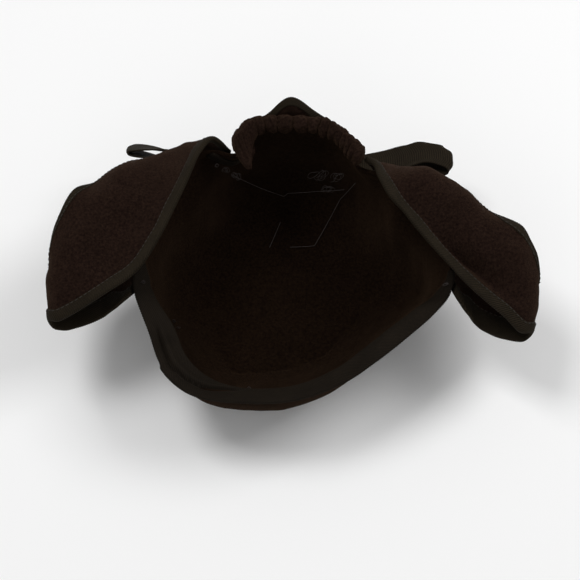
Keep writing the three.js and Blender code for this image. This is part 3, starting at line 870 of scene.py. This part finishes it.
def roll_radius(length, q, rounded):
    """The roll's radius: it rises between each two creases by the root of a sine, a little more
    at some gathers than at others, and small waves crumple it."""
    slanted = length + GATHERS["slant"] * np.sin(GATHERS["turns"] * length + 2) * (q - 0.4)
    along, around_it = length * ROLL_LENGTH, q * ROLL_ROUND
    slanted = slanted + GATHERS["waver"] * waves(along, around_it, scale=9, seed=11)
    gather = np.interp(slanted, CREASES[:, 0], np.arange(len(CREASES)))
    depth = np.interp(slanted, CREASES[:, 0], CREASES[:, 1])
    full = np.abs(np.sin(np.pi * gather)) ** 0.5
    plump = np.random.default_rng(5).uniform(*GATHERS["plump"], len(CREASES))
    middles = (CREASES[:-1, 0] + CREASES[1:, 0]) / 2
    swell = np.interp(slanted, middles, plump[:-1])
    depth = GATHERS["deeper"] * depth * (1 - 0.75 * smoothstep(q, 0.6, 0.85))
    uneven = 0.3 * waves(along, around_it, scale=7, seed=12)
    uneven = uneven + 0.14 * waves(along, around_it, scale=2.6, seed=13)
    return (ROLL["radius"] - depth * (1 - full) + uneven + swell * full) * rounded


def make_roll():
    """The ruched roll: an arc section carried along the arch and rounded off at its ends, with a
    wide lobe that hangs in at its left end and a pit beside it."""
    fine = np.linspace(0, 1, 600)
    path = around(smooth(ARCH[:, 0], fine), smooth(ARCH[:, 1], fine), 0)
    distance = run_along(path)
    length, q = grid(along=560, across=60)
    s = np.interp(length, distance / distance[-1], fine)
    angle, reach, rise, size = (smooth(column, s) for column in ARCH.T)
    from_end = np.minimum(length, 1 - length) / ROLL_ENDS
    rounded = np.sqrt(1 - (1 - np.clip(from_end, 0.06, 1)) ** 2)
    radius = roll_radius(length, q, size * rounded)
    turn = np.radians(ROLL["starts"] - ROLL["turns"] * q)
    c = np.cos(turn)
    lobe = ROLL_LOBE["size"] * bell(length, ROLL_LOBE["at"], ROLL_LOBE["half"]) * rounded
    lobe = lobe * smoothstep(-c, 0, 0.6)
    pit = bell(length, ROLL_PIT["at"], ROLL_PIT["half"])
    pit = ROLL_PIT["deep"] * pit * bell(q, ROLL_PIT["across"], ROLL_PIT["half_across"])
    tall = ROLL["tall"] - ROLL_LOBE["flatter"] * lobe
    out = reach + c * (radius + lobe * ROLL["radius"])
    points = around(angle, out, rise + ROLL["rise"] + radius * np.sin(turn) * tall - pit)
    normal = normals(points)
    centre = points.mean(axis=1, keepdims=True)
    inward = np.sign(np.sum((centre - points) * normal, axis=-1).mean())
    parts = wall(points, points + normal * inward * ROLL["wall"])
    build("roll_felt", parts, "napped felt", "gathered_roll")


def peak_surface(s, q):
    """The peak: a line from its root to its free edge, that bows in to the roll in its middle and
    out at its ends by 4u(1-u), u a power of q."""
    angle = smooth(PEAK[:, 0], s)
    free = around(angle, smooth(PEAK[:, 1], s), smooth(PEAK[:, 2], s))
    reach = PEAK_ROOT["reach"] - PEAK_ROOT["ends"] * (2 * s - 1) ** 2
    root = around(90 + (angle - 90) * PEAK_ROOT["narrowing"], reach, PEAK_ROOT["rise"])
    a = np.radians(angle)
    out = unit(np.stack([np.cos(a), np.sin(a), -PEAK_BOW["droop"] * np.ones_like(a)], -1))
    skewed = q ** PEAK_BOW["skew"]
    bow = (PEAK_BOW["ends"] - PEAK_BOW["middle"] * np.sin(np.pi * s)) * 4 * skewed * (1 - skewed)
    bow = bow + waves(s * 60, q * 20, scale=25, seed=21) * 0.4 * q
    return mix(root, free, q[..., None]) + out * bow[..., None]


def make_peak():
    """The peak's felt and the folded ribbon along its free edge."""
    s, q = grid(along=120, across=40)
    build("peak_felt", felt_wall(peak_surface(s, q * PEAK_FELT_TO)), "napped felt", "peak")
    fine = np.linspace(0, 1, 360)
    free = peak_surface(fine, fine * 0 + 1)
    half = PEAK_BINDING["width"] / 2 / np.linalg.norm(peak_surface(fine, fine * 0) - free, axis=1)
    at = peak_surface(fine, 1 - half)
    side = unit(peak_surface(fine, 1 - 2 * half) - free)
    up = unit(np.cross(np.gradient(at, axis=0), side))
    a, b = section(20, fold_power=2.4, felt_power=6.0)
    parts = ribbed((at, side, up), a * PEAK_BINDING["width"], b * PEAK_BINDING["thick"])
    build("peak_ribbon", parts, "ribbed ribbon", "peak_binding")


def bow_frame(turn):
    """The ribbon's two directions across a bow turned about x by some degrees."""
    c, s = np.cos(np.radians(turn)), np.sin(np.radians(turn))
    zero = np.zeros_like(c)
    return np.stack([zero, c, s], -1), np.stack([zero, -s, c], -1)


def bow_face(end, offset, s, q):
    """A bow loop: the ribbon runs out, turns over and comes back as a flat ring. It narrows
    to the knot, its far corner is drawn back, its upper layer stands open at the near side,
    and soft folds fan out from the knot."""
    inner = BOW_KNOT["length"] / 2 - 1
    middle, reach = (inner + BOW["half"]) / 2, (BOW["half"] - inner) / 2
    c, n = np.cos(2 * np.pi * s), np.sin(2 * np.pi * s)
    flat = middle + (reach - BOW["wall"] + offset) * squared_off(c, 0.7)
    share = flat / BOW["half"]
    puff = mix(0.25, 1, smoothstep(share, 0.3, 0.85))
    opened = (0.5 * end["gap"] * puff + offset) * squared_off(n, 0.6)
    steep = mix(BOW["turn"], end["turn"], smoothstep(share, 0, end["turned_by"]))
    steep = steep - end["wrung"] * bell(share, at=0.72, half=0.13)
    across, up = bow_frame(steep)
    spread = mix(0.45, 1, smoothstep(share, 0.15, 0.9))
    drawn = end["skew"] * (smoothstep(q, 0.6, 1) ** 1.5 + 0.6 * smoothstep(0.3 - q, 0, 0.3))
    crest = end["crest"] * bell(share, at=0.8, half=0.1) - end["droop"] * smoothstep(share, 0.8, 1)
    slip = end["open"] * bell(share, at=0.85, half=0.12) * (1 - q) ** 2
    pleat = BOW["pleat"] * np.sin(q * 3 * np.pi + 0.6) * (1 - smoothstep(share, 0.15, 0.75))
    dimple = end["dimple"] * bell(share, at=0.68 + 0.08 * q, half=0.05)
    lift = opened + pleat - dimple * np.sign(n)
    lift = lift + waves(flat, q * BOW["ribbon"], scale=40, seed=31) * 0.35
    x = end["hand"] * (flat - drawn * share**2)
    base = np.stack([x, BOW["y"] + end["y"] * share, BOW["z"] + end["z"] * share], -1)
    wide = (q - 0.5) * BOW["ribbon"] * spread + crest * smoothstep(q, 0.5, 1)
    wide = wide + slip * smoothstep(n, -0.1, 0.4)
    return base + up * lift[..., None] + across * wide[..., None]


def make_bow():
    """The bow's two loops, whose outer face has low ribs."""
    s, q = grid(along=900, across=24)
    for side, end in BOW_ENDS.items():
        outer = bow_face(end, BOW["wall"], s, q)
        inner = bow_face(end, 0.0, s, q)
        swell = 0.4 * ribs(lengths(outer, 0))[:, None, None]
        outer = outer + unit(outer - inner) * swell
        parts = wall(outer, inner, capped=(True, True, False, False))
        build(f"bow_{side}_ribbon", parts, "ribbed ribbon", f"bow_loop_{side}")


def make_bow_knot():
    """The wound knot between the bow's loops: a rounded oblong section, pinched at its ends."""
    share = np.linspace(-0.5, 0.5, 60)[:, None]
    across, up = bow_frame(np.full(len(share), float(BOW["turn"])))
    centre = share * [BOW_KNOT["length"], 0, 0] + [0, BOW["y"], BOW["z"]]
    turn = np.linspace(0, 2 * np.pi, 61)
    a, b = np.cos(turn), np.sin(turn)
    swell = (1 - 0.8 * np.abs(share) ** 3) * (1 + 0.05 * np.sin(share * 26 + 2 * a))
    wide = BOW_KNOT["width"] / 2 * squared_off(a, 0.6) * swell
    deep = BOW_KNOT["thick"] / 2 * squared_off(b, 0.6) * swell
    points = centre[:, None] + across[:, None] * wide[..., None] + up[:, None] * deep[..., None]
    build("bow_wound_knot", skin(points), "ribbed ribbon", "bow_knot")


# Threads

def tacking_path(tacks, inner):
    """A thread from tack to tack: each tack is the nearest place of the crown's inner face, away
    from its rim and foot, and the thread stands off the felt by half a sine between them."""
    flat = inner[:, TACKED_ROWS].reshape(-1, 3)
    gaps = np.sum((flat[None, :, :2] - np.array(tacks, float)[:, None]) ** 2, axis=-1)
    on_felt = flat[np.argmin(gaps, axis=1)] + THREAD_OFF
    share = np.linspace(0, 1, 14)[:, None]
    slack = THREAD_SLACK * np.sin(np.pi * share)
    path = np.concatenate([mix(a, b, share) + slack for a, b in zip(on_felt[:-1], on_felt[1:])])
    return np.stack([evenly(path, path[:, k], 90) for k in range(3)], -1)


def tangled_loops(radius):
    """Loose thread at each tangle: a few leaning ellipses of uneven reach."""
    rng = np.random.default_rng(14)
    loops = []
    for x, y, z, size in TANGLES:
        for _ in range(3 if size > 2 else 2):
            turn = rng.uniform(0, 2 * np.pi) + np.linspace(0, 2 * np.pi * rng.uniform(0.8, 1.7), 60)
            reach = size * (0.75 + 0.3 * np.sin(turn * 1.7 + rng.uniform(0, 6)))
            middle = rng.normal(0, size * 0.5, 3) * [1, 0.2, 1] + [x, y, z]
            loop = np.stack([np.cos(turn), 0.35 * np.sin(turn), 1.6 * np.sin(turn + 0.5)], -1)
            loops.append(tube(middle + loop * reach[:, None], radius, 5))
    return loops


def make_tacking():
    """Tacking threads from tack to tack, and small tangles where they are knotted."""
    _, inner = crown_grid(along=140, across=48)
    radius = in_mm("thread") / 2
    threads = [tube(tacking_path(tacks, inner), radius, 6) for tacks in TACKING.values()]
    threads += tangled_loops(radius * 0.7)
    build("tacking_threads", joined(threads), "tacking thread")


def make_stitches():
    """The machine stitches along the wings' ribbons."""
    stitches = []
    for wing in WINGS:
        for is_rear in (False, True):
            stitches += wing_stitches(wing, is_rear)
    build("machine_stitches", joined(stitches), "stitching thread")


# Materials

def shader(name):
    """A new material with a principled shader, and its node tree."""
    material = bpy.data.materials.new(name)
    material.use_nodes = True
    return material, material.node_tree


def node(tree, kind, **values):
    """A node of a kind with some of its inputs or properties set."""
    made = tree.nodes.new(kind)
    for key, value in values.items():
        if key in made.inputs:
            made.inputs[key].default_value = value
        else:
            setattr(made, key, value)
    return made


def ramp(tree, source, low, high, stops=(0.3, 0.7)):
    """A colour ramp from low to high between two stops of a source."""
    made = tree.nodes.new("ShaderNodeValToRGB")
    made.color_ramp.elements[0].position = stops[0]
    made.color_ramp.elements[1].position = stops[1]
    made.color_ramp.elements[0].color = (*low, 1)
    made.color_ramp.elements[1].color = (*high, 1)
    tree.links.new(source, made.inputs["Fac"])
    return made


def shade(colour, share):
    """A colour made darker or lighter by a share."""
    return tuple(c * share for c in colour)


def noise(tree, scale, detail, roughness=0.5, distortion=0.0):
    """Noise on the hat's own places."""
    place = tree.nodes.new("ShaderNodeTexCoord")
    made = node(tree, "ShaderNodeTexNoise", Scale=scale, Detail=detail, Roughness=roughness,
                Distortion=distortion)
    tree.links.new(place.outputs["Object"], made.inputs["Vector"])
    return made.outputs["Fac"]


def multiplied(tree, first, *layers):
    """Colours multiplied one by one."""
    result = first.outputs["Color"]
    for layer in layers:
        mixed = node(tree, "ShaderNodeMix", data_type="RGBA", blend_type="MULTIPLY")
        mixed.inputs["Factor"].default_value = 1.0
        tree.links.new(result, mixed.inputs["A"])
        tree.links.new(layer.outputs["Color"], mixed.inputs["B"])
        result = mixed.outputs["Result"]
    return result


def bumped(tree, layers):
    """Bumps laid one over another, each from its source, strength and height in metres."""
    result = None
    for source, strength, distance in layers:
        bump = node(tree, "ShaderNodeBump", Strength=strength, Distance=distance)
        tree.links.new(source, bump.inputs["Height"])
        if result:
            tree.links.new(result, bump.inputs["Normal"])
        result = bump.outputs["Normal"]
    return result


def finished(material, colour, normal, finish):
    """Joins a colour and a normal to a material's shader and sets its plain values."""
    tree = material.node_tree
    principled = tree.nodes["Principled BSDF"]
    tree.links.new(colour, principled.inputs["Base Color"])
    if normal:
        tree.links.new(normal, principled.inputs["Normal"])
    for socket, value in finish.items():
        principled.inputs[socket].default_value = value
    return material


FELT_FINISH = {
    "Roughness": 1.0,
    "Specular IOR Level": 0.02,
    "Sheen Weight": 0.09,
    "Sheen Roughness": 0.55,
    "Sheen Tint": (0.5, 0.3, 0.18, 1),
}
RIBBON_FINISH = {
    "Roughness": 0.75,
    "Specular IOR Level": 0.05,
    "Sheen Weight": 0.02,
    "Sheen Roughness": 0.5,
    "Sheen Tint": (0.6, 0.52, 0.4, 1),
}


def felt_material(name, colour):
    """Napped wool felt: matt and soft, with mottled red and yellow browns and a fibrous bump."""
    material, tree = shader(name)
    mottle = noise(tree, 45.0, 3.0, 0.6)
    nap = noise(tree, 720.0, 5.0, 0.8)
    fibre = noise(tree, 2100.0, 3.0, 0.8, distortion=2.0)
    base = ramp(tree, mottle, shade(colour, 0.9), shade(colour, 1.1), (0.32, 0.7))
    specks = ramp(tree, nap, (0.3, 0.22, 0.26), (1.85, 1.86, 1.5), (0.36, 0.66))
    normal = bumped(tree, ((nap, 0.7, 0.0006), (fibre, 0.7, 0.0003)))
    return finished(material, multiplied(tree, base, specks), normal, FELT_FINISH)


def ribbon_material(name, colour):
    """Ribbed ribbon: painted shade between its ribs and painted light on their tops, fine threads
    across them, slight wear and a low silky sheen."""
    material, tree = shader(name)
    wear = noise(tree, 70.0, 4.0, 0.6)
    lint = noise(tree, 1500.0, 3.0, 0.7)
    run = node(tree, "ShaderNodeUVMap", uv_map="run")
    pitch = bpy.context.scene.hat_sizes.rib_pitch
    grooves = node(tree, "ShaderNodeTexWave", Scale=math.tau / 20 / pitch)
    threads = node(tree, "ShaderNodeTexWave", Scale=700.0, Distortion=0.6, Detail=1.0)
    threads.bands_direction = "Y"
    for pattern in (grooves, threads):
        tree.links.new(run.outputs["UV"], pattern.inputs["Vector"])
    base = ramp(tree, wear, shade(colour, 0.85), shade(colour, 1.15))
    # Painted shade and light: the grooves between the ribs are darkened and the rib tops lightened
    painted_groove_shade = ramp(tree, grooves.outputs["Fac"], (0.5, 0.5, 0.5), (1.3, 1.3, 1.3), (0.05, 0.75))
    specks = ramp(tree, lint, (0.7, 0.7, 0.7), (1.3, 1.28, 1.22), (0.35, 0.68))
    normal = bumped(tree, ((threads.outputs["Fac"], 0.4, 0.00012), (lint, 0.4, 0.0002)))
    return finished(material, multiplied(tree, base, painted_groove_shade, specks), normal, RIBBON_FINISH)


def thread_material(name, colour):
    """Cotton thread: matt, with a fine twist along it."""
    material, tree = shader(name)
    twist = ramp(tree, noise(tree, 2200.0, 2.0), shade(colour, 0.7), shade(colour, 1.2))
    return finished(material, twist.outputs["Color"], None, {"Roughness": 0.85})


# The hat's finishes: the maker of each, the name of its colour in the sidebar, and its slot
FINISHES = {
    "napped felt": (felt_material, "felt", "felt"),
    # The crown's felt: a darker copy of the felt, partly painted shade and partly its own yellower
    # brown
    "crown felt": (felt_material, "crown_felt", "felt"),
    "ribbed ribbon": (ribbon_material, "ribbon", "ribbon"),
    # The rim's ribbon: a darker copy of the ribbon, its darkness painted shade
    "rim ribbon": (ribbon_material, "rim_ribbon", "ribbon"),
    "tacking thread": (thread_material, "thread", "ribbon"),
    "stitching thread": (thread_material, "stitch", "ribbon"),
}


# The stage

# The camera's height over the floor in degrees, and its distance and frame's width in metres
CAMERA = {"elevation": 63, "distance": 0.75, "frame": 0.319}
FLOOR_HALF = 3.0
FLOOR_ROUGHNESS = 0.9


def look_at(thing, target):
    """Turns a light or camera so that its -Z axis points at a target."""
    away = thing.location - Vector(target)
    thing.rotation_euler = away.to_track_quat("Z", "Y").to_euler()


def area_light(name, place, target, size, power):
    """A square soft light at a place, turned to a target."""
    data = bpy.data.lights.new(name, "AREA")
    data.shape = "SQUARE"
    data.size = size
    data.energy = power
    light = shown(name, data)
    light.location = place
    look_at(light, target)


def make_stage():
    """The pale floor, the soft lights and the camera."""
    stage = bpy.context.scene.hat_stage
    target = HAT_ORIGIN * MM
    mesh = bpy.data.meshes.new("floor")
    corners = [(-1, -1, 0), (1, -1, 0), (1, 1, 0), (-1, 1, 0)]
    mesh.from_pydata([Vector(corner) * FLOOR_HALF for corner in corners], [], [(0, 1, 2, 3)])
    material, tree = shader("pale floor")
    principled = tree.nodes["Principled BSDF"]
    principled.inputs["Base Color"].default_value = (*stage.floor, 1)
    principled.inputs["Roughness"].default_value = FLOOR_ROUGHNESS
    mesh.materials.append(material)
    shown("floor", mesh)

    world = bpy.data.worlds.new("soft surround")
    world.use_nodes = True
    back = world.node_tree.nodes["Background"]
    back.inputs["Color"].default_value = (1, 1, 1, 1)
    back.inputs["Strength"].default_value = stage.surround
    bpy.context.scene.world = world

    area_light("key light", (0.8, 0.3, 1.05), target, 0.6, stage.key)
    area_light("top light", (-0.55, 0.3, 1.35), target, 0.5, stage.top)
    area_light("fill light", (-0.3, -1.1, 0.8), target, 0.7, stage.fill)
    bpy.context.scene.view_settings.view_transform = "Standard"

    data = bpy.data.cameras.new("photo camera")
    camera = shown("photo camera", data)
    lift = math.radians(CAMERA["elevation"])
    away = Vector((0, -math.cos(lift), math.sin(lift))) * CAMERA["distance"]
    camera.location = Vector(target) + away
    look_at(camera, target)
    data.angle = 2 * math.atan(CAMERA["frame"] / 2 / CAMERA["distance"])
    data.clip_end = 20
    bpy.context.scene.camera = camera


# Settings, operators and panel

class HatSizes(bpy.types.PropertyGroup):
    """Sizes of the hat's cloth, ribbon and thread."""

    felt: FloatProperty(name="Felt", description="Thickness of the felt", default=0.002, unit="LENGTH")
    rib_pitch: FloatProperty(
        name="Rib pitch", description="From rib to rib of a ribbon", default=0.0013, unit="LENGTH"
    )
    stitch_pitch: FloatProperty(
        name="Stitch pitch", description="From stitch to stitch", default=0.0028, unit="LENGTH"
    )
    thread: FloatProperty(
        name="Thread", description="Thickness of the tacking thread", default=0.0003, unit="LENGTH"
    )


class HatColours(bpy.types.PropertyGroup):
    """Colours of the hat's materials."""

    felt: FloatVectorProperty(
        name="Felt", description="Colour of the felt",
        default=(0.0104, 0.0057, 0.0050), subtype="COLOR",
    )
    # A darker copy of the felt colour: partly painted shade for the inside of the bowl, partly the
    # crown's own yellower brown
    crown_felt: FloatVectorProperty(
        name="Shaded crown felt", description="Colour of the crown's felt",
        default=(0.0068, 0.0038, 0.0026), subtype="COLOR",
    )
    ribbon: FloatVectorProperty(
        name="Ribbon", description="Colour of the ribbon",
        default=(0.0150, 0.0112, 0.0070), subtype="COLOR",
    )
    # A darker copy of the ribbon colour: its darkness is painted shade
    rim_ribbon: FloatVectorProperty(
        name="Shaded rim ribbon", description="Colour of the rim's ribbon",
        default=(0.0092, 0.0067, 0.0046), subtype="COLOR",
    )
    thread: FloatVectorProperty(
        name="Tacking thread", description="Colour of the tacking",
        default=(0.05, 0.04, 0.038), subtype="COLOR",
    )
    stitch: FloatVectorProperty(
        name="Stitches", description="Colour of the stitches",
        default=(0.02, 0.015, 0.01), subtype="COLOR",
    )


class HatStage(bpy.types.PropertyGroup):
    """The floor's colour and the lights' powers."""

    floor: FloatVectorProperty(
        name="Floor", description="Colour of the floor", default=(0.9, 0.9, 0.9), subtype="COLOR",
    )
    surround: FloatProperty(name="Surround", description="Strength of the even light", default=0.38)
    key: FloatProperty(name="Key light", description="Power of the key light", default=7, unit="POWER")
    top: FloatProperty(name="Top light", description="Power of the top light", default=9, unit="POWER")
    fill: FloatProperty(
        name="Fill light", description="Power of the fill light", default=1.5, unit="POWER",
    )


class HAT_OT_stage(bpy.types.Operator):
    """Makes the floor, the lights and the camera"""

    bl_idname = "hat.stage"
    bl_label = "Stage"

    def execute(self, context):
        make_stage()
        return {"FINISHED"}


class HAT_OT_crown(bpy.types.Operator):
    """Makes the felt crown and the wide ribbon on its rim"""

    bl_idname = "hat.crown"
    bl_label = "Crown"

    def execute(self, context):
        make_crown()
        make_crown_binding()
        return {"FINISHED"}


class HAT_OT_wings(bpy.types.Operator):
    """Makes the two looped wings and the ribbons on their edges"""

    bl_idname = "hat.wings"
    bl_label = "Wings"

    def execute(self, context):
        for wing in WINGS:
            make_wing(wing)
            for is_rear in (False, True):
                make_wing_binding(wing, is_rear)
        make_tail()
        return {"FINISHED"}


class HAT_OT_roll(bpy.types.Operator):
    """Makes the ruched roll and the peak behind it"""

    bl_idname = "hat.roll"
    bl_label = "Roll and peak"

    def execute(self, context):
        make_roll()
        make_peak()
        return {"FINISHED"}


class HAT_OT_bow(bpy.types.Operator):
    """Makes the ribbon bow"""

    bl_idname = "hat.bow"
    bl_label = "Bow"

    def execute(self, context):
        make_bow()
        make_bow_knot()
        return {"FINISHED"}


class HAT_OT_threads(bpy.types.Operator):
    """Makes the tacking threads and the stitches"""

    bl_idname = "hat.threads"
    bl_label = "Threads"

    def execute(self, context):
        make_tacking()
        make_stitches()
        return {"FINISHED"}


OPERATORS = (HAT_OT_stage, HAT_OT_crown, HAT_OT_wings, HAT_OT_roll, HAT_OT_bow, HAT_OT_threads)


class HAT_PT_panel(bpy.types.Panel):
    """Lists the hat's settings and pieces"""

    bl_label = "Calot hat"
    bl_idname = "HAT_PT_panel"
    bl_space_type = "VIEW_3D"
    bl_region_type = "UI"
    bl_category = "Calot hat"

    def draw(self, context):
        scene = context.scene
        for settings in (scene.hat_sizes, scene.hat_colours, scene.hat_stage):
            for name in settings.__annotations__:
                self.layout.prop(settings, name)
        for operator in OPERATORS:
            self.layout.operator(operator.bl_idname)


CLASSES = (HatSizes, HatColours, HatStage, *OPERATORS, HAT_PT_panel)


def register():
    for cls in CLASSES:
        bpy.utils.register_class(cls)
    bpy.types.Scene.hat_sizes = PointerProperty(type=HatSizes)
    bpy.types.Scene.hat_colours = PointerProperty(type=HatColours)
    bpy.types.Scene.hat_stage = PointerProperty(type=HatStage)


def unregister():
    del bpy.types.Scene.hat_stage
    del bpy.types.Scene.hat_colours
    del bpy.types.Scene.hat_sizes
    for cls in reversed(CLASSES):
        bpy.utils.unregister_class(cls)


def main():
    """Makes the stage and every piece."""
    register()
    bpy.ops.hat.stage()
    bpy.ops.hat.crown()
    bpy.ops.hat.wings()
    bpy.ops.hat.roll()
    bpy.ops.hat.bow()
    bpy.ops.hat.threads()


if __name__ == "__main__":
    main()
